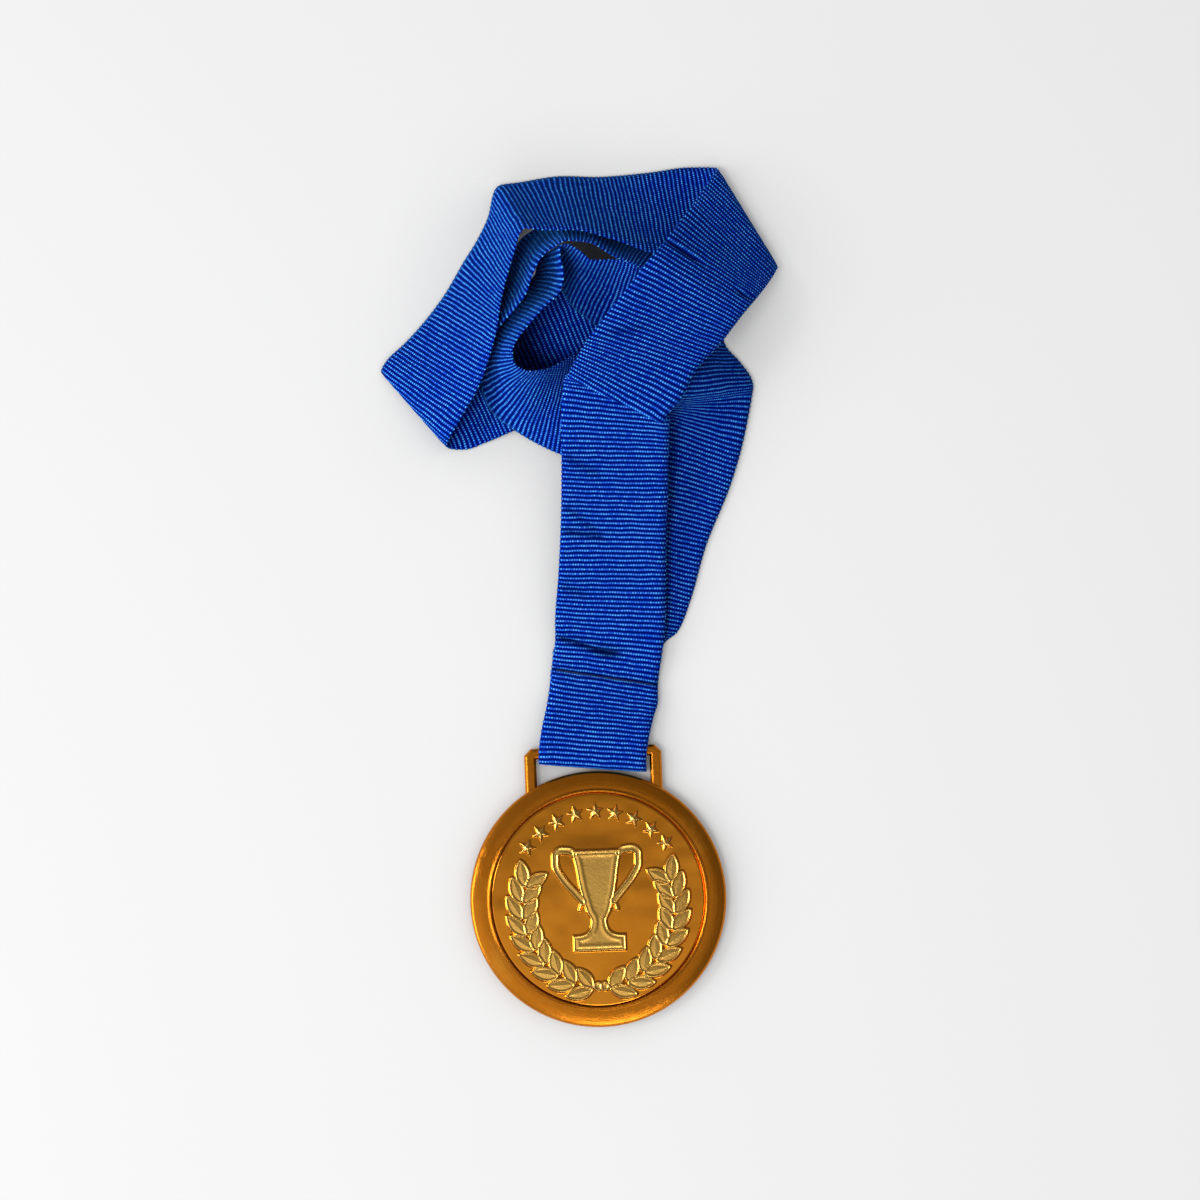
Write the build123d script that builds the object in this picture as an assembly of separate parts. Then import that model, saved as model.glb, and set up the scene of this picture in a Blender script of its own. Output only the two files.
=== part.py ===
from build123d import *
import math
import os

# A neck-ribbon medal lying on a flat surface, its ribbon laid down in a loose heap above it.
# Frame: millimetres, origin at the centre of the disc's flat back, +Y towards the lug and ribbon,
# +Z up through the struck face. Everything rests on the plane Z = 0.

# ---------------------------------------------------------------- driving dimensions
DISC_DIAMETER = 60.0
DISC_THICKNESS = 4.0
EDGE_BEVEL = 0.5            # chamfer round the disc's front and back edges
RIM_FALL = 0.35             # the domed rim is this much lower at its outer edge

INSERT_DIAMETER = 50.0      # standard centre disc
INSERT_THICKNESS = 1.0
INSERT_PLAY = 0.15          # radial play between the insert and its recess
INSERT_SET_BACK = 0.2       # insert's field below the rim
ADHESIVE_THICKNESS = 0.2
ADHESIVE_MARGIN = 1.0       # the pad is this much smaller in radius than the insert

LIP_WIDTH = 0.7             # raised line round the recess
LIP_HEIGHT = 0.3
RELIEF_HEIGHT = 0.5         # cup and leaves above the field
RELIEF_ROOT = 0.1           # and their overlap into the plate

RIBBON_WIDTH = 25.0
RIBBON_THICKNESS = 0.5
RIBBON_PITCH = 0.9          # layer to layer where the strip lies on itself
STRIP_LOWEST = 0.3          # middle of the strip above the surface under the bar

SLOT_SIDE_PLAY = 0.8        # ribbon edge to lug post
SLOT_GAP = 3.2              # disc edge to bar, on the centre line
POST_WIDTH = 2.8
BAR_DEPTH = 2.5             # along Y
LUG_THICKNESS = 2.0         # along Z
LUG_BEVEL = 0.55
LUG_AXIS_HEIGHT = 2.2       # bar's centre above the surface
LUG_CORNER = 1.6            # cut-off outer corners of the lug
BAR_PLAY = 0.3              # clearance between the turning bar and the ribbon round it

STITCH_COUNT = 12
THREAD_DIAMETER = 0.35
THREAD_BEND = 0.6           # shares of the thread's diameter: radius where it turns down a hole,
NEEDLE_STAND = 0.3          # its centre above the front layer,
BOBBIN_SINK = 0.5           # and its centre inside the back layer
SEAM_MARGIN = 1.0           # selvage to first needle hole

# ---------------------------------------------------------------- derived places
DISC_RADIUS = DISC_DIAMETER / 2
FIELD_HEIGHT = DISC_THICKNESS - INSERT_SET_BACK
FLOOR_HEIGHT = FIELD_HEIGHT - INSERT_THICKNESS - ADHESIVE_THICKNESS
FIELD_RADIUS = INSERT_DIAMETER / 2
BAR_Y = DISC_RADIUS + SLOT_GAP + BAR_DEPTH / 2
SLOT_HALF = RIBBON_WIDTH / 2 + SLOT_SIDE_PLAY
LUG_HALF = SLOT_HALF + POST_WIDTH
BAR_REACH = math.hypot(BAR_DEPTH / 2, LUG_THICKNESS / 2 - LUG_BEVEL)
LOOP_RADIUS = max(BAR_REACH + BAR_PLAY + RIBBON_THICKNESS / 2, LUG_AXIS_HEIGHT - STRIP_LOWEST)


# ---------------------------------------------------------------- cast body
def medal_body():
    """Disc with a front recess and a raised lip round it, and the lug cast in one with it."""
    lip_radius = FIELD_RADIUS + INSERT_PLAY + LIP_WIDTH
    crown = (lip_radius + DISC_RADIUS) / 2
    shoulder = DISC_THICKNESS - RIM_FALL - EDGE_BEVEL
    section = (
        Polyline(
            (lip_radius, DISC_THICKNESS),
            (0, DISC_THICKNESS),
            (0, 0),
            (DISC_RADIUS - EDGE_BEVEL, 0),
            (DISC_RADIUS, EDGE_BEVEL),
            (DISC_RADIUS, shoulder),
            (DISC_RADIUS - EDGE_BEVEL, shoulder + EDGE_BEVEL),
        )
        + ThreePointArc(
            (DISC_RADIUS - EDGE_BEVEL, shoulder + EDGE_BEVEL),
            (crown, DISC_THICKNESS - RIM_FALL * 0.25),
            (lip_radius, DISC_THICKNESS),
        )
    )
    disc = revolve(Plane.XZ * make_face(section), Axis.Z)
    lug_bottom = math.sqrt(lip_radius ** 2 - SLOT_HALF ** 2)
    lug_top = BAR_Y + BAR_DEPTH / 2
    outline = [
        (-LUG_HALF, lug_bottom),
        (-LUG_HALF, lug_top - LUG_CORNER),
        (-LUG_HALF + LUG_CORNER, lug_top),
        (LUG_HALF - LUG_CORNER, lug_top),
        (LUG_HALF, lug_top - LUG_CORNER),
        (LUG_HALF, lug_bottom),
        (SLOT_HALF, lug_bottom),
        (SLOT_HALF, lug_top - BAR_DEPTH),
        (-SLOT_HALF, lug_top - BAR_DEPTH),
        (-SLOT_HALF, lug_bottom),
    ]
    lug = extrude(make_face(Polyline(*outline, close=True)), LUG_THICKNESS)
    ends = lug.faces().filter_by(Axis.Z)
    lug = chamfer(ends.edges(), LUG_BEVEL)
    lug = Pos(0, 0, LUG_AXIS_HEIGHT - LUG_THICKNESS / 2) * lug
    recess = Cylinder(
        FIELD_RADIUS + INSERT_PLAY,
        DISC_THICKNESS,
        align=(Align.CENTER, Align.CENTER, Align.MIN),
    )
    lip = Circle(lip_radius) - Circle(FIELD_RADIUS + INSERT_PLAY)
    body = (disc + lug) - Pos(0, 0, FLOOR_HEIGHT) * recess
    root = DISC_THICKNESS - LIP_HEIGHT
    body += Pos(0, 0, root) * extrude(lip, 2 * LIP_HEIGHT)
    crest = body.faces().sort_by(Axis.Z)[-1]
    return chamfer(crest.edges(), LIP_HEIGHT * 0.6)


def insert_adhesive():
    """Thin double-sided pad on the recess floor."""
    pad = Cylinder(
        FIELD_RADIUS - ADHESIVE_MARGIN,
        ADHESIVE_THICKNESS,
        align=(Align.CENTER, Align.CENTER, Align.MIN),
    )
    return Pos(0, 0, FLOOR_HEIGHT) * pad


# ---------------------------------------------------------------- struck insert
# The struck design is drawn in millimetres for a 50 mm disc and grows with the disc.
DESIGN_SCALE = INSERT_DIAMETER / 50.0

CUP_RIM = 11.8              # heights above the disc's centre
CUP_WAIST = -5.2
CUP_FOOT_TOP = -8.2
CUP_FOOT_BOTTOM = -12.2
CUP_RIM_HALF = 5.8          # half widths
CUP_WAIST_HALF = 1.9
CUP_FOOT_HALF = 6.3
CUP_BELLY = (4.4, 3.0)      # points on the outline between rim, waist and foot
CUP_STEM = (2.8, -7.3)
HANDLE_WIDTH = 1.6
HANDLE_POINTS = ((5.0, 10.9), (8.0, 11.8), (9.8, 9.6), (8.1, 5.0), (5.8, 2.2), (3.6, -0.6))

LEAF_PAIRS = 9              # on each side
LEAF_WIDTH = 2.9
OUTER_LEAF_LENGTH = 6.6
INNER_LEAF_LENGTH = 6.2
OUTER_LEAN = -18.0          # degrees from the branch's direction
INNER_LEAN = 48.0
BRANCH_START = -85.0        # degrees round the disc, beside the bow at the bottom
BRANCH_STEP = 12.0
BRANCH_RADIUS = 21.0        # at the bottom
BRANCH_DRAW_IN = 0.45       # the branch comes this much nearer the centre at each step
BOW_HEIGHT = -20.3
BOW_HALF = 1.6

STAR_COUNT = 9
STAR_RADIUS = 2.1
STAR_WAIST = 0.45           # inner corners' radius as a share of the outer
STAR_ARC_RADIUS = 20.6
STAR_ARC_HALF = 52.0        # degrees each side of straight up


def leaf(length):
    """One laurel leaf from its stalk at the origin to its tip along +X."""
    half = length / 2
    outline = (
        ThreePointArc((0, 0), (half, LEAF_WIDTH / 2), (length, 0))
        + ThreePointArc((length, 0), (half, -LEAF_WIDTH / 2), (0, 0))
    )
    return scale(make_face(outline), DESIGN_SCALE)


def wreath_leaves():
    """Right branch, one leaf outside and one inside at each step, then its mirror image."""
    right = []
    for index in range(LEAF_PAIRS):
        angle = BRANCH_START + index * BRANCH_STEP
        radius = DESIGN_SCALE * (BRANCH_RADIUS - index * BRANCH_DRAW_IN)
        stalk = Pos(radius * math.cos(math.radians(angle)), radius * math.sin(math.radians(angle)))
        right.append(stalk * Rot(0, 0, angle + 90 + OUTER_LEAN) * leaf(OUTER_LEAF_LENGTH))
        right.append(stalk * Rot(0, 0, angle + 90 + INNER_LEAN) * leaf(INNER_LEAF_LENGTH))
    return right + [mirror(shape, Plane.YZ) for shape in right]


def star(angle):
    """Five-pointed star standing upright at this angle on the star arc."""
    points = []
    for index in range(10):
        reach = STAR_RADIUS if index % 2 == 0 else STAR_RADIUS * STAR_WAIST
        turn = math.radians(90 + 36 * index)
        points.append((reach * math.cos(turn), reach * math.sin(turn)))
    radius = DESIGN_SCALE * STAR_ARC_RADIUS
    spot = (radius * math.cos(math.radians(angle)), radius * math.sin(math.radians(angle)))
    outline = scale(make_face(Polyline(*points, close=True)), DESIGN_SCALE)
    return Pos(*spot) * Rot(0, 0, angle - 90) * outline


def cup_faces():
    """Two-handled cup: one outline from rim to foot, and a handle at each side."""
    rim = (CUP_RIM_HALF, CUP_RIM)
    waist = (CUP_WAIST_HALF, CUP_WAIST)
    foot_top = (CUP_FOOT_HALF, CUP_FOOT_TOP)
    foot_bottom = (CUP_FOOT_HALF, CUP_FOOT_BOTTOM)
    right = (
        Line((0, CUP_RIM), rim)
        + Spline(rim, CUP_BELLY, waist)
        + ThreePointArc(waist, CUP_STEM, foot_top)
        + Line(foot_top, foot_bottom)
        + Line(foot_bottom, (0, CUP_FOOT_BOTTOM))
        + Line((0, CUP_FOOT_BOTTOM), (0, CUP_RIM))
    )
    half = scale(make_face(right), DESIGN_SCALE)
    handle = scale(trace(Spline(*HANDLE_POINTS), HANDLE_WIDTH), DESIGN_SCALE)
    return [half, mirror(half, Plane.YZ), handle, mirror(handle, Plane.YZ)]


def face_insert():
    """Struck disc: flat field with a cup, a wreath tied with a bow, and an arc of stars."""
    plate = Cylinder(
        FIELD_RADIUS,
        INSERT_THICKNESS,
        align=(Align.CENTER, Align.CENTER, Align.MIN),
    )
    plate = Pos(0, 0, FIELD_HEIGHT - INSERT_THICKNESS) * plate
    shapes = cup_faces() + wreath_leaves()
    shapes.append(Pos(0, BOW_HEIGHT * DESIGN_SCALE) * Circle(BOW_HALF * DESIGN_SCALE))
    step = 2 * STAR_ARC_HALF / (STAR_COUNT - 1)
    shapes += [star(90 - STAR_ARC_HALF + index * step) for index in range(STAR_COUNT)]
    for shape in shapes:
        raised = extrude(shape, RELIEF_HEIGHT + RELIEF_ROOT)
        plate += Pos(0, 0, FIELD_HEIGHT - RELIEF_ROOT) * raised
    return plate


# ---------------------------------------------------------------- ribbon
# The strip's route, as pairs of points on its two selvages, in the order in which the strip runs:
# from the hidden sewn tail, round the lug bar, up the front leg, through the heap and back down the
# back leg to the seam. Heights are to the middle of the strip's thickness. The points are for the
# 25 mm strip above a bar at Y = 34.45, and move with the bar and grow with the strip's width.
ROUTE_WIDTH = 25.0
ROUTE_BAR_Y = 34.45

# front leg, rising from the seam
FRONT_LEG = [
    ((-7.7, 59.9, 2.9), (17, 56.3, 2.9)),
    ((-7.5, 65.7, 4), (18, 63.6, 4)),
    ((-6.4, 75.5, 5.5), (18.5, 74.1, 5.2)),
    ((-5.5, 85.3, 7), (18.9, 83.9, 6.6)),
    ((-4.8, 95.9, 9.5), (19.7, 94.5, 9)),
    ((-4.4, 105.1, 12), (20.2, 103.5, 11)),
    ((-4.1, 113, 15), (20.6, 110.1, 13.4)),
    ((-3.4, 119.1, 17), (20.9, 114.6, 14.8)),
]
# pleat that turns the strip to the right, deep at the right selvage and nothing at the left
WEDGE_PLEAT = [
    ((-3, 121.3, 18), (21, 117.1, 15.3)),
    ((-2.6, 121.9, 18.9), (21, 117.5, 16.2)),
    ((-2.4, 121.6, 19.7), (21, 116.3, 17)),
    ((-2.3, 121.2, 20), (19.9, 111.3, 17.3)),
    ((-2.2, 121.3, 20.7), (19.3, 109.9, 18.1)),
    ((-2, 122, 21), (19.5, 111, 18.8)),
    ((-0.5, 124.7, 21), (23, 114.9, 19.4)),
]
# uppermost band, up and to the right
TOP_BAND = [
    ((3.4, 130.7, 21), (27.2, 122, 18.6)),
    ((10.1, 138.7, 20.8), (33.3, 128.3, 17)),
    ((17.2, 147.2, 20.6), (38.4, 134.5, 15)),
    ((21.9, 152.6, 17.5), (42.2, 138.8, 12)),
    ((28, 160.6, 10.5), (45.3, 142.7, 8)),
]
# right-hand corner, where the strip turns under itself
RIGHT_FOLD = [
    ((32, 166, 6.6), (46.8, 144.9, 5.5)),
    ((34.2, 169, 4.3), (47.4, 146, 4)),
    ((34.6, 169.6, 3), (47.6, 146.4, 2.9)),
    ((34, 170.2, 1.8), (47, 147.5, 1.9)),
    ((31.2, 170.5, 1.2), (41.8, 148.4, 2)),
    ((27, 170.6, 0.9), (32.5, 148.4, 5.5)),
]
# band along the top, its far selvage on the surface and its near one high
UPPER_WALL = [
    ((17.8, 169.7, 0.8), (20.5, 149.2, 13.5)),
    ((6.9, 169.2, 0.8), (9.3, 152.7, 19)),
    ((-2.5, 169.7, 0.9), (0.4, 155, 20.8)),
    ((-12.5, 168.5, 1.6), (-6.7, 155.2, 21.6)),
]
# upper left corner
LEFT_CORNER = [
    ((-16.6, 168, 2.3), (-10.8, 155.6, 22.3)),
    ((-17.7, 167.1, 2.3), (-11.8, 154.8, 22.3)),
    ((-19.6, 160.9, 1.7), (-13.5, 150.3, 21.8)),
]
# left band, outer selvage low and inner one high
LEFT_BAND = [
    ((-22.5, 155.4, 1.2), (-15.8, 143.6, 21.2)),
    ((-25.8, 150.5, 1), (-17, 139.3, 20.8)),
    ((-30.5, 143.1, 0.9), (-18.2, 133.2, 20.4)),
    ((-35.5, 136.9, 0.9), (-20.2, 127, 18)),
    ((-40.4, 131.9, 0.9), (-23.2, 120.2, 14.5)),
]
# lower left corner, where the strip turns under itself
LOWER_LEFT_FOLD = [
    ((-44.5, 128.3, 1), (-27.2, 114.1, 11)),
    ((-45.9, 126.3, 0.9), (-30.4, 109.3, 8.5)),
    ((-46.2, 125.5, 0.6), (-31.4, 107.4, 5)),
    ((-45.1, 125.3, 0.4), (-30.7, 106.9, 2)),
    ((-41.8, 126.8, 0.4), (-27.5, 106.6, 0.6)),
]
# band lying low across the inside of the heap
FLOOR_BAND = [
    ((-33.6, 130.5, 0.9), (-22.5, 108, 0.7)),
    ((-25, 133.8, 1.5), (-16, 110.4, 1.3)),
    ((-13.1, 138.3, 2), (-4.3, 114.7, 1.4)),
    ((-4.4, 142.1, 3.2), (3.6, 119.1, 2)),
    ((-0.4, 144.2, 3.8), (7.7, 121, 2.3)),
    ((3.2, 145.8, 3), (11.7, 122.5, 2)),
    ((9.4, 147.7, 2), (17.9, 124.4, 1.7)),
    ((14.1, 149, 2), (22.6, 125.7, 1.5)),
]
# turn back under the uppermost band
HIDDEN_RETURN = [
    ((15.5, 148.9, 2.6), (23.8, 125.8, 1.9)),
    ((15.7, 148.3, 3.8), (23.3, 125.6, 2.6)),
    ((15.7, 148.3, 8), (17.9, 126.2, 2.7)),
    ((15.7, 145.7, 16.5), (11.5, 128.8, 2.7)),
]
# standing wall in the middle
CENTRE_WALL = [
    ((10.2, 147.7, 20.8), (3.7, 135.1, 4.2)),
    ((4.4, 147.5, 23.4), (-1.2, 139.5, 4.4)),
    ((1.4, 149.7, 24.6), (-3.4, 145.3, 3)),
    ((-1.5, 151.2, 25), (-6, 150.3, 1.6)),
]
# tight turn that stands like a bowl's side and flares at the foot
BOWL = [
    ((-2.8, 150.9, 25.3), (-7.9, 150.8, 1.4)),
    ((-3, 148.6, 25.3), (-8.7, 149.2, 1.3)),
    ((-2.4, 144.7, 25.2), (-9, 147.3, 1.3)),
    ((-2.9, 141.6, 25.1), (-10.2, 145.7, 1.3)),
    ((-8, 136.3, 25), (-14.1, 141.4, 1.3)),
    ((-11.5, 132.5, 24.8), (-18.3, 137.6, 1.3)),
    ((-13.8, 129.7, 24.4), (-21, 134.1, 2.4)),
    ((-14.7, 127.5, 24), (-22.7, 130.4, 2.5)),
    ((-14.7, 125.6, 23.6), (-23.5, 126, 2.5)),
    ((-13.6, 123.9, 22.8), (-22.9, 121.2, 2.4)),
    ((-11, 122.9, 21.4), (-20.8, 115.5, 2.3)),
    ((-7.6, 123.3, 19), (-15.7, 110.9, 2.2)),
    ((-3.9, 124.9, 14.8), (-10, 107.2, 1.3)),
]
# run down to the surface under the front leg
UNDER_FRONT_LEG = [
    ((-0.3, 126.8, 10.5), (-3.8, 104.2, 1.2)),
    ((5.8, 126.7, 6), (2.9, 102.2, 1.3)),
    ((12.7, 124, 3.4), (8.5, 99.6, 1.6)),
]
# flat run back across the surface, under everything
FLOOR_RUN = [
    ((16.8, 121.8, 2.4), (12.2, 97.6, 2)),
    ((17.5, 121.4, 1.4), (12.7, 97.3, 1.2)),
    ((16.6, 121.5, 0.5), (11.7, 97.4, 0.4)),
    ((12.2, 123.8, 0.4), (6.4, 99.8, 0.4)),
    ((3, 129.3, 0.4), (-4.9, 106.3, 0.4)),
    ((-8.5, 135.4, 0.4), (-17.6, 112.2, 0.4)),
    ((-22.5, 138.8, 0.4), (-30, 114.8, 0.4)),
]
# turn inside the hollow under the left band
TENT_FOLD = [
    ((-29, 140.2, 0.5), (-35.6, 116.7, 0.5)),
    ((-30.4, 139.9, 1.3), (-36.7, 117.1, 1.3)),
    ((-29.2, 139.3, 2.2), (-35.4, 117.7, 2.4)),
    ((-26.7, 137.4, 1.8), (-30.4, 116.2, 5)),
    ((-23.9, 138, 1.5), (-25.7, 119.5, 10)),
]
# outer standing wall, round the top and down the right
OUTER_WALL = [
    ((-21.4, 140.8, 1.2), (-21, 128.2, 15.5)),
    ((-19.9, 143.8, 1), (-17.5, 133.8, 18.6)),
    ((-17.5, 146.1, 1), (-14.2, 137, 21.3)),
    ((-15.5, 148.8, 1), (-11.2, 140.5, 23.4)),
    ((-14.2, 152.5, 1), (-9.7, 144.2, 24)),
    ((-12.2, 155.3, 1), (-7.6, 148.2, 24.3)),
    ((-8.1, 157.9, 1), (-4.3, 150.8, 24.5)),
    ((-2.4, 159.8, 1), (-1.3, 152.2, 24.6)),
    ((4.7, 159.5, 1), (3.5, 151.7, 24)),
    ((12.1, 156.9, 1), (9.3, 148.4, 22.5)),
    ((23.3, 154.8, 1), (15.2, 145.9, 18.6)),
    ((32.4, 147.9, 1), (20, 138.5, 16.5)),
]
# right corner above the back leg
RIGHT_CORNER = [
    ((34.5, 129.3, 1.2), (21.1, 129.7, 17)),
    ((38.1, 124.4, 1.3), (22.8, 123.4, 17)),
    ((40.5, 120.6, 1.5), (24.2, 119.2, 16.4)),
    ((40.9, 118.8, 1.5), (23.4, 116.8, 15.2)),
    ((40.6, 117, 1.3), (20.3, 115, 12.2)),
]
# back leg, down to the seam
BACK_LEG = [
    ((37.9, 105.4, 1), (15.3, 113.2, 7)),
    ((34.8, 96.1, 0.9), (11.9, 104.3, 4.2)),
    ((28.3, 81.5, 0.8), (4.8, 88.7, 2.6)),
    ((24.3, 69.2, 0.7), (0.5, 76, 1.6)),
    ((20.9, 61.8, 0.5), (-2.7, 66.9, 0.8)),
    ((17.6, 59, 0.4), (-7.2, 62.4, 0.4)),
    ((15.9, 50, 0.4), (-8.7, 54.2, 0.4)),
    ((15.2, 45.6, 0.4), (-9.4, 49.6, 0.4)),
]
HEAP = (
    FRONT_LEG
    + WEDGE_PLEAT
    + TOP_BAND
    + RIGHT_FOLD
    + UPPER_WALL
    + LEFT_CORNER
    + LEFT_BAND
    + LOWER_LEFT_FOLD
    + FLOOR_BAND
    + HIDDEN_RETURN
    + CENTRE_WALL
    + BOWL
    + UNDER_FRONT_LEG
    + FLOOR_RUN
    + TENT_FOLD
    + OUTER_WALL
    + RIGHT_CORNER
    + BACK_LEG
)

# The sewn loop, where the strip hangs on the bar. Rises are along Y from the bar's centre, drifts
# are sideways, and skews are the strip's turn in degrees from square on the bar.
LOOP_SKEW = 6.1
LOOP_SAG = 1.75             # turn's centre below the bar's
LOOP_DRIFT = -0.1
LOOP_STEP = 30              # degrees between sections round the turn
NECK_RISE = 3.4             # just above the bar
NECK_DRIFT = 0.6
NECK_SKEW = 7.0
NECK_DRAW = 0.2             # the two layers start to close by this much here
MIDWAY_RISE = 9.0
MIDWAY_DRIFT = 2.0
MIDWAY_SKEW = 8.0
MIDWAY_DRAW = 0.9
SEAM_RISE = 17.4
SEAM_DRIFT = 3.5
SEAM_SKEW = 10.9
SEAM_PLAY = 0.1             # the upper layers stand this much clear of the lowest
APPROACH = 3.0              # last section before the seam
TAIL_BEYOND = 4.6           # tail past the seam
TAIL_DRIFT = 0.5            # and its end's shift from the seam
END_BEFORE = 4.4            # other end past the seam, towards the bar
END_DRIFT = 0.6
SURFACE_LAYER = 1.0         # sections up to this height lie flat and don't grow in height


def cross_pair(x, y, z, skew):
    """Selvage points of a level strip centred here, its cross direction turned by skew."""
    half = RIBBON_WIDTH / 2
    dx = half * math.cos(math.radians(skew))
    dy = half * math.sin(math.radians(skew))
    return ((x - dx, y + dy, z), (x + dx, y - dy, z))


def loop_pairs():
    """Tail, turn round the bar and front layer up to the seam, as selvage pairs."""
    low = LUG_AXIS_HEIGHT - LOOP_RADIUS
    seam_y = BAR_Y + SEAM_RISE
    tail_height = low + RIBBON_PITCH + SEAM_PLAY
    front_height = tail_height + RIBBON_PITCH
    pairs = [
        cross_pair(SEAM_DRIFT + TAIL_DRIFT, seam_y + TAIL_BEYOND, tail_height, SEAM_SKEW),
        cross_pair(SEAM_DRIFT, seam_y, tail_height, SEAM_SKEW),
        cross_pair(MIDWAY_DRIFT, BAR_Y + MIDWAY_RISE, tail_height, MIDWAY_SKEW),
        cross_pair(NECK_DRIFT, BAR_Y + NECK_RISE, low + NECK_DRAW, NECK_SKEW),
    ]
    for turn in range(0, 181, LOOP_STEP):
        angle = math.radians(turn)
        y = BAR_Y - LOOP_SAG - LOOP_RADIUS * math.sin(angle)
        z = LUG_AXIS_HEIGHT - LOOP_RADIUS * math.cos(angle)
        pairs.append(cross_pair(LOOP_DRIFT, y, z, LOOP_SKEW))
    high = LUG_AXIS_HEIGHT + LOOP_RADIUS
    pairs += [
        cross_pair(NECK_DRIFT, BAR_Y + NECK_RISE, high - NECK_DRAW, NECK_SKEW),
        cross_pair(MIDWAY_DRIFT, BAR_Y + MIDWAY_RISE, high - MIDWAY_DRAW, MIDWAY_SKEW),
        cross_pair(SEAM_DRIFT, seam_y - APPROACH, front_height + 2 * SEAM_PLAY, SEAM_SKEW),
        cross_pair(SEAM_DRIFT, seam_y, front_height, SEAM_SKEW),
    ]
    return pairs


def placed(pair):
    """A route pair moved with the bar and grown with the strip's width about the seam."""
    grow = RIBBON_WIDTH / ROUTE_WIDTH
    seam_y = ROUTE_BAR_Y + SEAM_RISE
    moved = []
    for x, y, z in pair:
        x = SEAM_DRIFT + (x - SEAM_DRIFT) * grow
        y = seam_y + (y - seam_y) * grow + BAR_Y - ROUTE_BAR_Y
        moved.append((x, y, z * grow if z > SURFACE_LAYER else z))
    return tuple(moved)


def end_pairs():
    """The back leg's last stretch, lowest of the three sewn layers."""
    low = LUG_AXIS_HEIGHT - LOOP_RADIUS
    seam_y = BAR_Y + SEAM_RISE
    return [
        cross_pair(SEAM_DRIFT, seam_y, low, SEAM_SKEW),
        cross_pair(SEAM_DRIFT - END_DRIFT, seam_y - END_BEFORE, low, SEAM_SKEW),
    ]


def strip_sections(pairs):
    """Corners of a thin rectangle across the strip at every pair, square to its run."""
    middles = [(Vector(*a) + Vector(*b)) / 2 for a, b in pairs]
    last = len(pairs) - 1
    sections = []
    for index, (a, b) in enumerate(pairs):
        a, b = Vector(*a), Vector(*b)
        run = middles[min(index + 1, last)] - middles[max(index - 1, 0)]
        lift = (b - a).cross(run).normalized() * (RIBBON_THICKNESS / 2)
        sections.append((a - lift, b - lift, b + lift, a + lift))
    return sections


def ribbon_pairs():
    """Every section of the strip, from the hidden tail to the end beside it."""
    return loop_pairs() + [placed(pair) for pair in HEAP] + end_pairs()


def ribbon():
    """The whole strip as one solid: flat triangles between neighbouring sections, and two ends."""
    sections = strip_sections(ribbon_pairs())
    triangles = []
    for near, far in zip(sections, sections[1:]):
        for corner in range(4):
            after = (corner + 1) % 4
            triangles.append((near[corner], near[after], far[after]))
            triangles.append((near[corner], far[after], far[corner]))
    for section, turned in ((sections[0], True), (sections[-1], False)):
        corners = section[::-1] if turned else section
        triangles.append((corners[0], corners[1], corners[2]))
        triangles.append((corners[0], corners[2], corners[3]))
    faces = [Face(Wire.make_polygon(points)) for points in triangles]
    return Solid(Shell(faces))


# ---------------------------------------------------------------- lockstitch
def seam_points(height):
    """Needle holes along the seam, from selvage to selvage."""
    a, b = cross_pair(SEAM_DRIFT, BAR_Y + SEAM_RISE, height, SEAM_SKEW)
    start, end = Vector(*a), Vector(*b)
    margin = SEAM_MARGIN / RIBBON_WIDTH
    points = []
    for index in range(STITCH_COUNT + 1):
        share = margin + (1 - 2 * margin) * index / STITCH_COUNT
        points.append(start + (end - start) * share)
    return points


def thread(outer_height, lock_height):
    """A row of staples: a run on the outside and a leg down each hole to where the threads cross."""
    drop = Vector(0, 0, lock_height - outer_height)
    holes = seam_points(outer_height)
    staples = []
    for near, far in zip(holes, holes[1:]):
        bend = THREAD_DIAMETER * THREAD_BEND
        inset = (far - near).normalized() * bend
        start, end = near + inset, far - inset
        path = FilletPolyline(start + drop, start, end, end + drop, radius=bend)
        staples.append(sweep(Plane(path ^ 0) * Circle(THREAD_DIAMETER / 2), path))
    return Compound(children=staples)


# Middles of the lowest and uppermost sewn layers, and the height where the two threads cross
LOWEST_LAYER = LUG_AXIS_HEIGHT - LOOP_RADIUS
LOCK_HEIGHT = LOWEST_LAYER + RIBBON_PITCH + SEAM_PLAY
UPPER_LAYER = LOCK_HEIGHT + RIBBON_PITCH


def needle_thread():
    """Upper thread, its runs on the front of the front layer."""
    outside = UPPER_LAYER + RIBBON_THICKNESS / 2
    return thread(outside + THREAD_DIAMETER * NEEDLE_STAND, LOCK_HEIGHT)


def bobbin_thread():
    """Lower thread, its runs in the back of the lowest layer."""
    outside = LOWEST_LAYER - RIBBON_THICKNESS / 2
    return thread(outside + THREAD_DIAMETER * BOBBIN_SINK, LOCK_HEIGHT)


# ---------------------------------------------------------------- write the sub-parts
NODES = {
    "medal_body": medal_body,
    "insert_adhesive": insert_adhesive,
    "face_insert": face_insert,
    "ribbon": ribbon,
    "needle_thread": needle_thread,
    "bobbin_thread": bobbin_thread,
}

os.makedirs("parts", exist_ok=True)
for name, make in NODES.items():
    export_step(make(), os.path.join("parts", name + ".step"))
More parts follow.
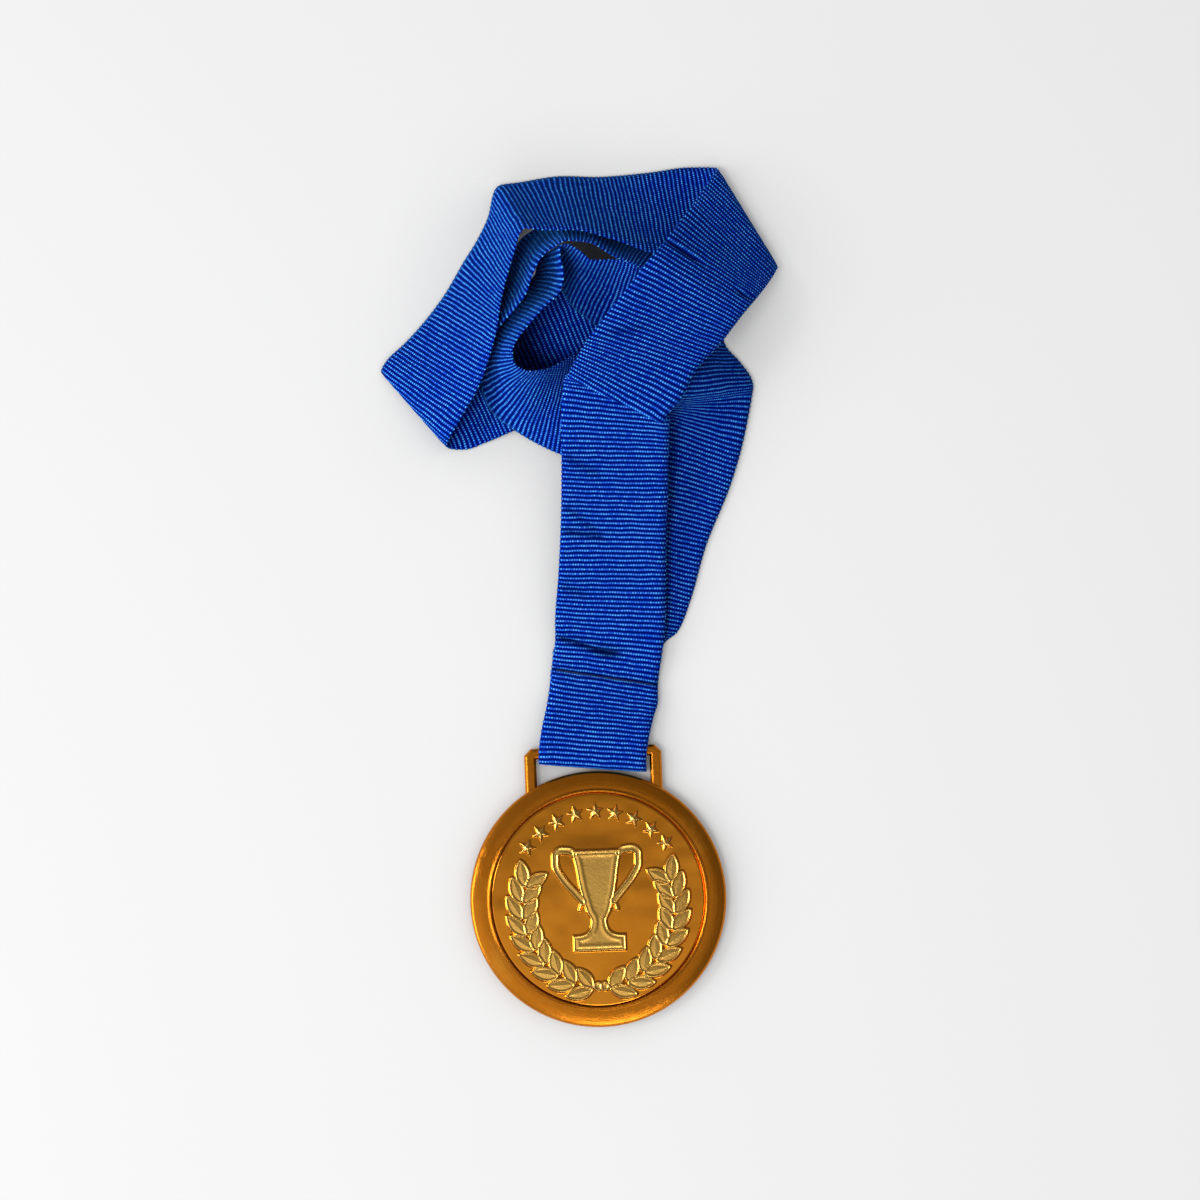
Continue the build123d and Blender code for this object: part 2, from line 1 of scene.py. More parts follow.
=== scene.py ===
import bpy
import math
import numpy as np
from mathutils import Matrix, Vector


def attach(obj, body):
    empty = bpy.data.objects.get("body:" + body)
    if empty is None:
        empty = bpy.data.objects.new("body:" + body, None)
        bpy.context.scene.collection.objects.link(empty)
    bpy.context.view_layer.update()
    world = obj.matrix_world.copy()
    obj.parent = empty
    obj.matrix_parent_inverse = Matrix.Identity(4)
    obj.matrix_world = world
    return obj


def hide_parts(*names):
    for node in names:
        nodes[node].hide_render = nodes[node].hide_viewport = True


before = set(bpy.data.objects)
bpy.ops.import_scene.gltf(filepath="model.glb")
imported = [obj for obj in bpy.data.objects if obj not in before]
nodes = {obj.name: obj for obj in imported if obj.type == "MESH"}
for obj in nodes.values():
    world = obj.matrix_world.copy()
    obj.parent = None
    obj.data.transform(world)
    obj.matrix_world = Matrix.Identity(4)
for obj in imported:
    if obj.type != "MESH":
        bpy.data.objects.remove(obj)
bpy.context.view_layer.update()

MM = 0.001

# ---------------------------------------------------------------- strip of cloth, metres
RIBBON_HALF_THICKNESS = 0.17 * MM
RIB_PITCH = 1.08 * MM
RIB_DEPTH = 0.12 * MM
SCALLOP = 0.2 * MM
ROWS_PER_RIB = 4
COLUMNS = 16
SAMPLES = 16                # points worked out between two of the route's pairs
THREAD_COLUMNS = 42         # warp threads across the strip
EDGE_THIN = 0.45            # a selvage's thickness, as a share of the middle's
RIB_WANDER = ((0.14, 16.0, 11), (0.05, 5.0, 12))    # ribs, size in mm, seed
SELVAGE_SHARE = 0.6         # a selvage this much longer than the middle sets the pace
TABLE_CLEARANCE = 0.3 * MM
FLOOR_LIFT = 0.02 * MM
FLOOR_DROP = -0.05 * MM

# ---------------------------------------------------------------- struck face, mm
INSERT_RADIUS = 25.0
INSERT_THICKNESS = 1.0
FIELD_HEIGHT = 3.8
FACE_GRID = 361
SATIN_LUMPS = (0.008, 0.45, 3)      # height, size and seed: on what is raised,
BROAD_LUMPS = (0.03, 9.0, 5)        # and broad and small over the whole face
SMALL_LUMPS = (0.012, 3.5, 8)
GRAIN_TILE = 60.0           # the seeded lumps repeat after this
EDGE_DROP = 0.18            # the face's edge rounds down this far,
EDGE_ROUND = 0.5            # over this width
LEAF_PAIRS = 9
LEAF_WIDTH = 3.7
OUTER_LEAF_LENGTH = 6.9
INNER_LEAF_LENGTH = 6.5
OUTER_LEAN = -18.0          # degrees from the branch's direction
INNER_LEAN = 48.0
BRANCH_START = -85.0        # degrees round the disc, beside the bow at the bottom
BRANCH_STEP = 12.0
BRANCH_RADIUS = 21.0
BRANCH_DRAW_IN = 0.45
BOW_Y = -20.3
KNOB_RADIUS = 1.25          # the bow's two knobs
KNOB_SIDE = 0.75
CURL_HALF = 0.5             # half width of the curl at a handle's foot
CUP_RIM = 11.8
CUP_FOOT_BOTTOM = -12.2
CUP_SIDE = (
    (5.9, 11.8), (5.75, 10.9), (5.1, 7.6), (4.4, 3.0), (3.7, 0.0), (2.9, -2.9), (1.95, -5.1),
    (2.25, -6.6), (3.4, -7.8), (4.9, -8.15), (6.25, -8.2), (6.3, -8.3), (6.3, -12.1), (6.2, -12.2),
)
HANDLE_HALF = 0.95
HANDLE_LINE = (
    (5.2, 10.8), (6.4, 11.6), (8.2, 11.8), (9.7, 10.6), (9.7, 8.4), (8.1, 5.0), (5.8, 2.2), (3.6, -0.4),
)
CURL_LINE = ((3.9, -0.6), (4.4, -2.3))
STAR_COUNT = 9
STAR_RADIUS = 2.1
STAR_WAIST = 0.45           # inner corners, as a share of the radius
STAR_ARC_RADIUS = 20.6
STAR_ARC_HALF = 52.0

# ---------------------------------------------------------------- view and light
LENS = 100.0
SENSOR = 36.0
VIEW_X = 3.1 * MM
VIEW_Y = 70.0 * MM
VIEW_HEIGHT = 784.0 * MM
VIEW_ROLL = -2.2
ROOM_STRENGTH = 0.15
WINDOW_STRENGTH = 0.35
WINDOW_SIDE = (-0.9, 0.0, 0.5)
WINDOW_TIGHTNESS = 3.0
CEILING_SIDE = (-0.25, -0.1, 0.96)
CEILING_FROM = 0.866        # cosines of the angles from the middle of the bright ceiling
CEILING_TO = 0.974
CEILING_STRENGTH = 0.48
CEILING_END = -0.09         # its far side, towards +Y, fades out between these two
CEILING_DARK = -0.062
LIGHT_AIM = (0.0, 0.07, 0.0)
FLOOR_SIZE = 4.0
FLOOR_COLOUR = (0.25, 0.25, 0.25, 1)
FLOOR_GLOW = 0.53           # the sheet under the medal glows a little, so its shadows are pale
GLOW_REACH = 25 * MM        # whatever is this near dims that glow
WHITE = (1.0, 1.0, 1.0, 1)
LAMPS = (                   # name, place, size, power, and whether the gold mirrors it
    ("overhead", (-0.28, -0.12, 0.95), 0.3, 6.8, False),
    ("near", (0.05, -0.6, 0.8), 0.3, 1.5, True),
    ("side", (-0.68, 0.1, 0.73), 0.2, 2.6, True),
    ("window", (-0.85, -0.15, 0.42), 0.45, 5.5, True),
)

# ---------------------------------------------------------------- colours
# dark blue of the grooves between the ribs, a painted shade; also the sewing thread's lighter tone
RIBBON_DARK = (0.0002, 0.003, 0.1, 1)
# painted shade for the crease valleys and the seam groove
RIBBON_VALLEY_SHADE = (0.0001, 0.003, 0.04, 1)
RIBBON_MID = (0.0003, 0.028, 0.45, 1)
# painted highlight on the floats where warp threads cross
RIBBON_FLOAT_HIGHLIGHT = (0.12, 0.58, 1.0, 1)
RIBBON_GLOSS = (0.05, 0.35, 1.0, 1)
THREAD_DARK = (0.0005, 0.002, 0.02, 1)
GOLD_LIGHT = (0.97, 0.55, 0.12, 1)
GOLD_RIM = (0.9, 0.37, 0.04, 1)
GOLD_DEEP = (0.72, 0.23, 0.015, 1)
GOLD_FIELD = (0.95, 0.37, 0.03, 1)
PAD_DARK = (0.7, 0.7, 0.66, 1)
PAD_LIGHT = (0.85, 0.84, 0.8, 1)
EDGE_WEAR = 0.4 * MM        # how far the cast body's edges look rounded
SATIN_FROM = 0.08           # mm above the field where satin starts,
SATIN_STEEPNESS = 5000.0    # and its growth for each metre above that

# ---------------------------------------------------------------- route, as in the CAD part, mm
STRIP_WIDTH = 25.0
RIBBON_PITCH = 0.9
LUG_AXIS_HEIGHT = 2.2
LOOP_RADIUS = 1.9
SEAM_GROOVE = 0.14          # depth and half width of the dent along the stitches
SEAM_GROOVE_HALF = 0.6
BAR_Y = 34.45
# The sewn loop, where the strip hangs on the bar. Rises are along Y from the bar's centre, drifts
# are sideways, and skews are the strip's turn in degrees from square on the bar.
LOOP_SKEW = 6.1
LOOP_SAG = 1.75             # turn's centre below the bar's
LOOP_DRIFT = -0.1
LOOP_STEP = 30              # degrees between sections round the turn
NECK_RISE = 3.4             # just above the bar
NECK_DRIFT = 0.6
NECK_SKEW = 7.0
NECK_DRAW = 0.2             # the two layers start to close by this much here
MIDWAY_RISE = 9.0
MIDWAY_DRIFT = 2.0
MIDWAY_SKEW = 8.0
MIDWAY_DRAW = 0.9
SEAM_RISE = 17.4
SEAM_DRIFT = 3.5
SEAM_SKEW = 10.9
SEAM_PLAY = 0.1             # the upper layers stand this much clear of the lowest
APPROACH = 3.0              # last section before the seam
TAIL_BEYOND = 4.6           # tail past the seam
TAIL_DRIFT = 0.5            # and its end's shift from the seam
END_BEFORE = 4.4            # other end past the seam, towards the bar
END_DRIFT = 0.6
LOWEST_LAYER = LUG_AXIS_HEIGHT - LOOP_RADIUS
MIDDLE_LAYER = LOWEST_LAYER + RIBBON_PITCH + SEAM_PLAY
UPPER_LAYER = MIDDLE_LAYER + RIBBON_PITCH

# front leg, rising from the seam
FRONT_LEG = [
    ((-7.7, 59.9, 2.9), (17, 56.3, 2.9)),
    ((-7.5, 65.7, 4), (18, 63.6, 4)),
    ((-6.4, 75.5, 5.5), (18.5, 74.1, 5.2)),
    ((-5.5, 85.3, 7), (18.9, 83.9, 6.6)),
    ((-4.8, 95.9, 9.5), (19.7, 94.5, 9)),
    ((-4.4, 105.1, 12), (20.2, 103.5, 11)),
    ((-4.1, 113, 15), (20.6, 110.1, 13.4)),
    ((-3.4, 119.1, 17), (20.9, 114.6, 14.8)),
]
# pleat that turns the strip to the right, deep at the right selvage and nothing at the left
WEDGE_PLEAT = [
    ((-3, 121.3, 18), (21, 117.1, 15.3)),
    ((-2.6, 121.9, 18.9), (21, 117.5, 16.2)),
    ((-2.4, 121.6, 19.7), (21, 116.3, 17)),
    ((-2.3, 121.2, 20), (19.9, 111.3, 17.3)),
    ((-2.2, 121.3, 20.7), (19.3, 109.9, 18.1)),
    ((-2, 122, 21), (19.5, 111, 18.8)),
    ((-0.5, 124.7, 21), (23, 114.9, 19.4)),
]
# uppermost band, up and to the right
TOP_BAND = [
    ((3.4, 130.7, 21), (27.2, 122, 18.6)),
    ((10.1, 138.7, 20.8), (33.3, 128.3, 17)),
    ((17.2, 147.2, 20.6), (38.4, 134.5, 15)),
    ((21.9, 152.6, 17.5), (42.2, 138.8, 12)),
    ((28, 160.6, 10.5), (45.3, 142.7, 8)),
]
# right-hand corner, where the strip turns under itself
RIGHT_FOLD = [
    ((32, 166, 6.6), (46.8, 144.9, 5.5)),
    ((34.2, 169, 4.3), (47.4, 146, 4)),
    ((34.6, 169.6, 3), (47.6, 146.4, 2.9)),
    ((34, 170.2, 1.8), (47, 147.5, 1.9)),
    ((31.2, 170.5, 1.2), (41.8, 148.4, 2)),
    ((27, 170.6, 0.9), (32.5, 148.4, 5.5)),
]
# band along the top, its far selvage on the surface and its near one high
UPPER_WALL = [
    ((17.8, 169.7, 0.8), (20.5, 149.2, 13.5)),
    ((6.9, 169.2, 0.8), (9.3, 152.7, 19)),
    ((-2.5, 169.7, 0.9), (0.4, 155, 20.8)),
    ((-12.5, 168.5, 1.6), (-6.7, 155.2, 21.6)),
]
# upper left corner
LEFT_CORNER = [
    ((-16.6, 168, 2.3), (-10.8, 155.6, 22.3)),
    ((-17.7, 167.1, 2.3), (-11.8, 154.8, 22.3)),
    ((-19.6, 160.9, 1.7), (-13.5, 150.3, 21.8)),
]
# left band, outer selvage low and inner one high
LEFT_BAND = [
    ((-22.5, 155.4, 1.2), (-15.8, 143.6, 21.2)),
    ((-25.8, 150.5, 1), (-17, 139.3, 20.8)),
    ((-30.5, 143.1, 0.9), (-18.2, 133.2, 20.4)),
    ((-35.5, 136.9, 0.9), (-20.2, 127, 18)),
    ((-40.4, 131.9, 0.9), (-23.2, 120.2, 14.5)),
]
# lower left corner, where the strip turns under itself
LOWER_LEFT_FOLD = [
    ((-44.5, 128.3, 1), (-27.2, 114.1, 11)),
    ((-45.9, 126.3, 0.9), (-30.4, 109.3, 8.5)),
    ((-46.2, 125.5, 0.6), (-31.4, 107.4, 5)),
    ((-45.1, 125.3, 0.4), (-30.7, 106.9, 2)),
    ((-41.8, 126.8, 0.4), (-27.5, 106.6, 0.6)),
]
# band lying low across the inside of the heap
FLOOR_BAND = [
    ((-33.6, 130.5, 0.9), (-22.5, 108, 0.7)),
    ((-25, 133.8, 1.5), (-16, 110.4, 1.3)),
    ((-13.1, 138.3, 2), (-4.3, 114.7, 1.4)),
    ((-4.4, 142.1, 3.2), (3.6, 119.1, 2)),
    ((-0.4, 144.2, 3.8), (7.7, 121, 2.3)),
    ((3.2, 145.8, 3), (11.7, 122.5, 2)),
    ((9.4, 147.7, 2), (17.9, 124.4, 1.7)),
    ((14.1, 149, 2), (22.6, 125.7, 1.5)),
]
# turn back under the uppermost band
HIDDEN_RETURN = [
    ((15.5, 148.9, 2.6), (23.8, 125.8, 1.9)),
    ((15.7, 148.3, 3.8), (23.3, 125.6, 2.6)),
    ((15.7, 148.3, 8), (17.9, 126.2, 2.7)),
    ((15.7, 145.7, 16.5), (11.5, 128.8, 2.7)),
]
# standing wall in the middle
CENTRE_WALL = [
    ((10.2, 147.7, 20.8), (3.7, 135.1, 4.2)),
    ((4.4, 147.5, 23.4), (-1.2, 139.5, 4.4)),
    ((1.4, 149.7, 24.6), (-3.4, 145.3, 3)),
    ((-1.5, 151.2, 25), (-6, 150.3, 1.6)),
]
# tight turn that stands like a bowl's side and flares at the foot
BOWL = [
    ((-2.8, 150.9, 25.3), (-7.9, 150.8, 1.4)),
    ((-3, 148.6, 25.3), (-8.7, 149.2, 1.3)),
    ((-2.4, 144.7, 25.2), (-9, 147.3, 1.3)),
    ((-2.9, 141.6, 25.1), (-10.2, 145.7, 1.3)),
    ((-8, 136.3, 25), (-14.1, 141.4, 1.3)),
    ((-11.5, 132.5, 24.8), (-18.3, 137.6, 1.3)),
    ((-13.8, 129.7, 24.4), (-21, 134.1, 2.4)),
    ((-14.7, 127.5, 24), (-22.7, 130.4, 2.5)),
    ((-14.7, 125.6, 23.6), (-23.5, 126, 2.5)),
    ((-13.6, 123.9, 22.8), (-22.9, 121.2, 2.4)),
    ((-11, 122.9, 21.4), (-20.8, 115.5, 2.3)),
    ((-7.6, 123.3, 19), (-15.7, 110.9, 2.2)),
    ((-3.9, 124.9, 14.8), (-10, 107.2, 1.3)),
]
# run down to the surface under the front leg
UNDER_FRONT_LEG = [
    ((-0.3, 126.8, 10.5), (-3.8, 104.2, 1.2)),
    ((5.8, 126.7, 6), (2.9, 102.2, 1.3)),
    ((12.7, 124, 3.4), (8.5, 99.6, 1.6)),
]
# flat run back across the surface, under everything
FLOOR_RUN = [
    ((16.8, 121.8, 2.4), (12.2, 97.6, 2)),
    ((17.5, 121.4, 1.4), (12.7, 97.3, 1.2)),
    ((16.6, 121.5, 0.5), (11.7, 97.4, 0.4)),
    ((12.2, 123.8, 0.4), (6.4, 99.8, 0.4)),
    ((3, 129.3, 0.4), (-4.9, 106.3, 0.4)),
    ((-8.5, 135.4, 0.4), (-17.6, 112.2, 0.4)),
    ((-22.5, 138.8, 0.4), (-30, 114.8, 0.4)),
]
# turn inside the hollow under the left band
TENT_FOLD = [
    ((-29, 140.2, 0.5), (-35.6, 116.7, 0.5)),
    ((-30.4, 139.9, 1.3), (-36.7, 117.1, 1.3)),
    ((-29.2, 139.3, 2.2), (-35.4, 117.7, 2.4)),
    ((-26.7, 137.4, 1.8), (-30.4, 116.2, 5)),
    ((-23.9, 138, 1.5), (-25.7, 119.5, 10)),
]
# outer standing wall, round the top and down the right
OUTER_WALL = [
    ((-21.4, 140.8, 1.2), (-21, 128.2, 15.5)),
    ((-19.9, 143.8, 1), (-17.5, 133.8, 18.6)),
    ((-17.5, 146.1, 1), (-14.2, 137, 21.3)),
    ((-15.5, 148.8, 1), (-11.2, 140.5, 23.4)),
    ((-14.2, 152.5, 1), (-9.7, 144.2, 24)),
    ((-12.2, 155.3, 1), (-7.6, 148.2, 24.3)),
    ((-8.1, 157.9, 1), (-4.3, 150.8, 24.5)),
    ((-2.4, 159.8, 1), (-1.3, 152.2, 24.6)),
    ((4.7, 159.5, 1), (3.5, 151.7, 24)),
    ((12.1, 156.9, 1), (9.3, 148.4, 22.5)),
    ((23.3, 154.8, 1), (15.2, 145.9, 18.6)),
    ((32.4, 147.9, 1), (20, 138.5, 16.5)),
]
# right corner above the back leg
RIGHT_CORNER = [
    ((34.5, 129.3, 1.2), (21.1, 129.7, 17)),
    ((38.1, 124.4, 1.3), (22.8, 123.4, 17)),
    ((40.5, 120.6, 1.5), (24.2, 119.2, 16.4)),
    ((40.9, 118.8, 1.5), (23.4, 116.8, 15.2)),
    ((40.6, 117, 1.3), (20.3, 115, 12.2)),
]
# back leg, down to the seam
BACK_LEG = [
    ((37.9, 105.4, 1), (15.3, 113.2, 7)),
    ((34.8, 96.1, 0.9), (11.9, 104.3, 4.2)),
    ((28.3, 81.5, 0.8), (4.8, 88.7, 2.6)),
    ((24.3, 69.2, 0.7), (0.5, 76, 1.6)),
    ((20.9, 61.8, 0.5), (-2.7, 66.9, 0.8)),
    ((17.6, 59, 0.4), (-7.2, 62.4, 0.4)),
    ((15.9, 50, 0.4), (-8.7, 54.2, 0.4)),
    ((15.2, 45.6, 0.4), (-9.4, 49.6, 0.4)),
]

HEAP = (
    FRONT_LEG,
    WEDGE_PLEAT,
    TOP_BAND,
    RIGHT_FOLD,
    UPPER_WALL,
    LEFT_CORNER,
    LEFT_BAND,
    LOWER_LEFT_FOLD,
    FLOOR_BAND,
    HIDDEN_RETURN,
    CENTRE_WALL,
    BOWL,
    UNDER_FRONT_LEG,
    FLOOR_RUN,
    TENT_FOLD,
    OUTER_WALL,
    RIGHT_CORNER,
    BACK_LEG,
)
# wrinkles on the front leg and uppermost band, each valley darkened with painted shade: where each end
# lies, depth and half width, mm
CREASES = (
    ((-7.6, 62.0), (5.7, 56.7), 1.0, 0.7),
    ((1.5, 58.5), (7.0, 57.0), 0.9, 0.9),
    ((-4.4, 93.0), (5.0, 84.0), 0.45, 1.0),
    ((-5.7, 86.6), (5.0, 84.5), 0.5, 0.8),
    ((-4.5, 104.0), (4.0, 99.0), 0.35, 1.2),
    ((-6.5, 74.0), (1.5, 71.0), 0.3, 1.2),
    ((21.7, 152.1), (28.6, 147.0), 0.6, 0.6),
    ((37.1, 140.3), (42.9, 137.0), 0.5, 0.8),
    ((8.0, 131.0), (16.0, 131.5), 0.3, 1.5),
)
DEEP_CREASE = 0.8           # a crease this deep gets the full painted shade
SEAM_SHADE = 0.7
CREASES_FROM = 36.0 * MM    # along the strip: past the loop,
CREASES_TO = 200.0 * MM     # and before the right-hand corner
SLANTED = (WEDGE_PLEAT, RIGHT_FOLD, LEFT_CORNER, LOWER_LEFT_FOLD, TENT_FOLD)


# ---------------------------------------------------------------- route of the strip
def cross_pair(x, y, z, skew):
    """Selvage points of a level strip centred here, its cross direction turned by skew."""
    half = STRIP_WIDTH / 2
    dx = half * math.cos(math.radians(skew))
    dy = half * math.sin(math.radians(skew))
    return ((x - dx, y + dy, z), (x + dx, y - dy, z))


def loop_pairs():
    """Tail, turn round the bar and front layer up to the seam, as selvage pairs."""
    seam_y = BAR_Y + SEAM_RISE
    pairs = [
        cross_pair(SEAM_DRIFT + TAIL_DRIFT, seam_y + TAIL_BEYOND, MIDDLE_LAYER, SEAM_SKEW),
        cross_pair(SEAM_DRIFT, seam_y, MIDDLE_LAYER, SEAM_SKEW),
        cross_pair(MIDWAY_DRIFT, BAR_Y + MIDWAY_RISE, MIDDLE_LAYER, MIDWAY_SKEW),
        cross_pair(NECK_DRIFT, BAR_Y + NECK_RISE, LOWEST_LAYER + NECK_DRAW, NECK_SKEW),
    ]
    for turn in range(0, 181, LOOP_STEP):
        angle = math.radians(turn)
        y = BAR_Y - LOOP_SAG - LOOP_RADIUS * math.sin(angle)
        z = LUG_AXIS_HEIGHT - LOOP_RADIUS * math.cos(angle)
        pairs.append(cross_pair(LOOP_DRIFT, y, z, LOOP_SKEW))
    high = LUG_AXIS_HEIGHT + LOOP_RADIUS
    pairs += [
        cross_pair(NECK_DRIFT, BAR_Y + NECK_RISE, high - NECK_DRAW, NECK_SKEW),
        cross_pair(MIDWAY_DRIFT, BAR_Y + MIDWAY_RISE, high - MIDWAY_DRAW, MIDWAY_SKEW),
        cross_pair(SEAM_DRIFT, seam_y - APPROACH, UPPER_LAYER + 2 * SEAM_PLAY, SEAM_SKEW),
        cross_pair(SEAM_DRIFT, seam_y, UPPER_LAYER, SEAM_SKEW),
    ]
    return pairs


def end_pairs():
    """The back leg's last stretch, lowest of the three sewn layers."""
    seam_y = BAR_Y + SEAM_RISE
    return [
        cross_pair(SEAM_DRIFT, seam_y, LOWEST_LAYER, SEAM_SKEW),
        cross_pair(SEAM_DRIFT - END_DRIFT, seam_y - END_BEFORE, LOWEST_LAYER, SEAM_SKEW),
    ]


def route():
    """Selvage points in metres, and whether the ribs lie square across the strip at each pair."""
    stretches = [(loop_pairs(), True)]
    for stretch in HEAP:
        stretches.append((stretch, not any(stretch is fold for fold in SLANTED)))
    stretches.append((end_pairs(), True))
    left, right, square = [], [], []
    for pairs, is_square in stretches:
        for a, b in pairs:
            left.append(a)
            right.append(b)
            square.append(is_square)
    return np.array(left) * MM, np.array(right) * MM, square


# ---------------------------------------------------------------- smooth curves through points
def slopes(knots, values):
    """Slopes that carry a curve through the points with no overshoot between them."""
    step = np.diff(knots)[:, None]
    rise = np.diff(values, axis=0) / step
    result = np.zeros_like(values)
    before, after = rise[:-1], rise[1:]
    w1 = 2 * step[1:] + step[:-1]
    w2 = step[1:] + 2 * step[:-1]
    same = before * after > 0
    blend = np.zeros_like(before)
    blend[same] = ((w1 + w2) / (w1 / np.where(same, before, 1) + w2 / np.where(same, after, 1)))[same]
    result[1:-1] = blend
    result[0], result[-1] = rise[0], rise[-1]
    return result


def curve(knots, values, at):
    """Cubic curve through the points, evaluated at many places."""
    tangents = slopes(knots, values)
    index = np.clip(np.searchsorted(knots, at, side="right") - 1, 0, len(knots) - 2)
    step = (knots[index + 1] - knots[index])[:, None]
    s = (at[:, None] - knots[index][:, None]) / step
    return (
        (2 * s ** 3 - 3 * s ** 2 + 1) * values[index]
        + (s ** 3 - 2 * s ** 2 + s) * step * tangents[index]
        + (3 * s ** 2 - 2 * s ** 3) * values[index + 1]
        + (s ** 3 - s ** 2) * step * tangents[index + 1]
    )


def along(points):
    """Distance along a line of points."""
    return np.concatenate([[0.0], np.cumsum(np.linalg.norm(np.diff(points, axis=0), axis=1))])


def strip_grid():
    """Points of the strip's middle surface, one row across the strip for each fraction of a rib."""
    left, right, square = route()
    knots = along((left + right) / 2)
    knots = np.maximum(knots, np.maximum(along(left), along(right)) * SELVAGE_SHARE)
    knots = np.maximum.accumulate(knots + np.arange(len(knots)) * 1e-6)
    fine = np.concatenate(
        [np.linspace(a, b, SAMPLES, endpoint=False) for a, b in zip(knots[:-1], knots[1:])]
        + [knots[-1:]]
    )
    rail_l, rail_r = curve(knots, left, fine), curve(knots, right, fine)
    rail_l[:, 2] = np.maximum(rail_l[:, 2], TABLE_CLEARANCE)
    rail_r[:, 2] = np.maximum(rail_r[:, 2], TABLE_CLEARANCE)
    run_l, run_r = along(rail_l), along(rail_r)
    cut_l, cut_r = np.zeros_like(run_l), np.zeros_like(run_r)
    start, done = 0, 0.0
    stops = [i * SAMPLES for i in range(1, len(square)) if square[i]]
    for stop in stops:
        part = slice(start, stop + 1)
        long_l, long_r = run_l[stop] - run_l[start], run_r[stop] - run_r[start]
        mean = (long_l + long_r) / 2
        cut_l[part] = done + (run_l[part] - run_l[start]) * mean / long_l
        cut_r[part] = done + (run_r[part] - run_r[start]) * mean / long_r
        start, done = stop, done + mean
    length = done
    rows = int(length / RIB_PITCH) * ROWS_PER_RIB + 1
    cuts = np.linspace(0, length, rows)
    share = np.linspace(0, 1, COLUMNS + 1)
    grid = np.zeros((rows, COLUMNS + 1, 3))
    places = np.arange(len(fine), dtype=float)
    for column, v in enumerate(share):
        place = np.interp(cuts, (1 - v) * cut_l + v * cut_r, places)
        for axis in range(3):
            a = np.interp(place, places, rail_l[:, axis])
            b = np.interp(place, places, rail_r[:, axis])
            grid[:, column, axis] = (1 - v) * a + v * b
    return grid, cuts, share, length


def quads(*corners):
    """Four-cornered faces, one row each, from four arrays of vertex numbers."""
    return np.stack(corners, -1).reshape(-1, 4)


def mesh_object(name, vertices, faces):
    """A mesh object from points and arrays of faces, each array with its own count of corners."""
    corners = np.concatenate([part.ravel() for part in faces]).astype(np.int32)
    sizes = np.concatenate([np.full(len(part), part.shape[1]) for part in faces])
    starts = np.concatenate([[0], np.cumsum(sizes)[:-1]]).astype(np.int32)
    mesh = bpy.data.meshes.new(name)
    mesh.vertices.add(len(vertices))
    mesh.vertices.foreach_set("co", np.ascontiguousarray(vertices, dtype=np.float32).ravel())
    mesh.loops.add(len(corners))
    mesh.loops.foreach_set("vertex_index", corners)
    mesh.polygons.add(len(sizes))
    mesh.polygons.foreach_set("loop_start", starts)
    mesh.polygons.foreach_set("use_smooth", np.full(len(sizes), True))
    mesh.update(calc_edges=True)
    mesh.validate()
    piece = bpy.data.objects.new(name, mesh)
    bpy.context.collection.objects.link(piece)
    return piece


def smooth_waves(x, y, size, seed, count=5):
    """A seeded sum of sines of about this size, mostly between -1 and 1."""
    chance = np.random.default_rng(seed)
    total = 0.0
    for _ in range(count):
        turn, phase = chance.uniform(0, 2 * math.pi, 2)
        pace = 2 * math.pi / (size * chance.uniform(0.7, 1.6))
        total = total + np.sin((x * math.cos(turn) + y * math.sin(turn)) * pace + phase)
    return total / count ** 0.5


def rib_wander(x, y):
    """How far the ribs stray from straight, in ribs."""
    return sum(reach * smooth_waves(x, y, size, seed) for reach, size, seed in RIB_WANDER)


def crease_height(grid, cuts, share):
    """How far the wrinkles raise or sink the cloth, a valley with a low ridge along one side, and
    how much painted shade each place gets for lying in a valley."""
    total = np.zeros(grid.shape[:2])
    painted_valley_shade = np.zeros(grid.shape[:2])
    visible = (cuts > CREASES_FROM) & (cuts < CREASES_TO)
    for *ends, depth, half in CREASES:
        spots = []
        for end in ends:
            gap = np.linalg.norm(grid[:, :, :2] - np.array(end) * MM, axis=2)
            gap[~visible] = 1.0
            row, column = np.unravel_index(np.argmin(gap), gap.shape)
            spots.append((share[column], cuts[row]))
        (share_a, cut_a), (share_b, cut_b) = sorted(spots)
        t = (share - share_a) / (share_b - share_a)
        fade = smooth_step(t, -0.1, 0.15) * (1 - smooth_step(t, 0.85, 1.1))
        beside = (cuts[:, None] - cut_a - t * (cut_b - cut_a)) / (half * MM)
        valley = fade * ridge(beside, 0.0, 1.0)
        total += depth * MM * (0.7 * fade * ridge(beside, 1.5, 1.0) - valley)
        # painted shade, darkest in the deepest valleys
        painted_valley_shade = np.maximum(painted_valley_shade, valley * min(1.0, depth / DEEP_CREASE))
    return total, painted_valley_shade


def seam_groove(grid, cuts):
    """The groove along the stitches in the front layer: 1 in its middle."""
    selvages = np.array(cross_pair(SEAM_DRIFT, BAR_Y + SEAM_RISE, UPPER_LAYER, SEAM_SKEW))
    seam = selvages.mean(axis=0) * MM
    gap = np.linalg.norm(grid[:, grid.shape[1] // 2] - seam, axis=1)
    beside = (cuts - cuts[np.argmin(gap)]) / (SEAM_GROOVE_HALF * MM)
    return ridge(beside, 0.0, 1.0)[:, None]


